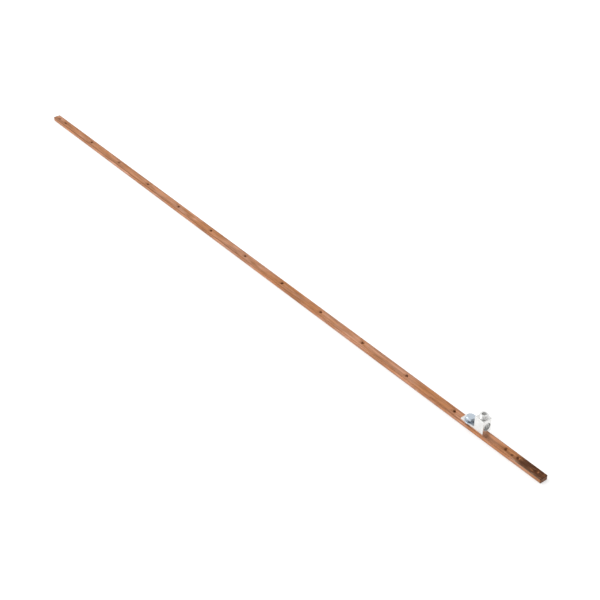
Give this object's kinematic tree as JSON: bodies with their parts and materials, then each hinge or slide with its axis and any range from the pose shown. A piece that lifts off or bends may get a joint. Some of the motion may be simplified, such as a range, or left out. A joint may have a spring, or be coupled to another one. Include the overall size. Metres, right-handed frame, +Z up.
{
  "type": "rack grounding busbar",
  "caption": "Flat copper grounding busbar for a server rack, with tapped holes along its length and a bolted mechanical lug that clamps the main grounding conductor.",
  "frame": {"origin": "centre of the bar's underside", "axes": "+X along the bar towards the end that carries the lug, +Y across it towards the side the lug overhangs, +Z up from the underside"},
  "size_m": [1.162, 0.0168, 0.033],
  "materials": {
    "copper": "tarnished bare copper, patchy and streaked",
    "lug_aluminium": "satin tin-plated aluminium",
    "clamp_screw_steel": "satin tin-plated",
    "zinc_steel": "clear bluish zinc plate"
  },
  "bodies": {
    "bar": {"busbar": "copper", "lug_body": "lug_aluminium", "lug_screw": "zinc_steel", "lock_washer": "zinc_steel", "flat_washer": "zinc_steel"},
    "clamp_screw": {"clamp_screw": "clamp_screw_steel"}
  },
  "joints": [
    {"name": "clamp_screw_travel", "type": "slide", "parent": "bar", "child": "clamp_screw", "axis": [0, 0, -1], "range_m": [0, 0.007]}
  ]
}
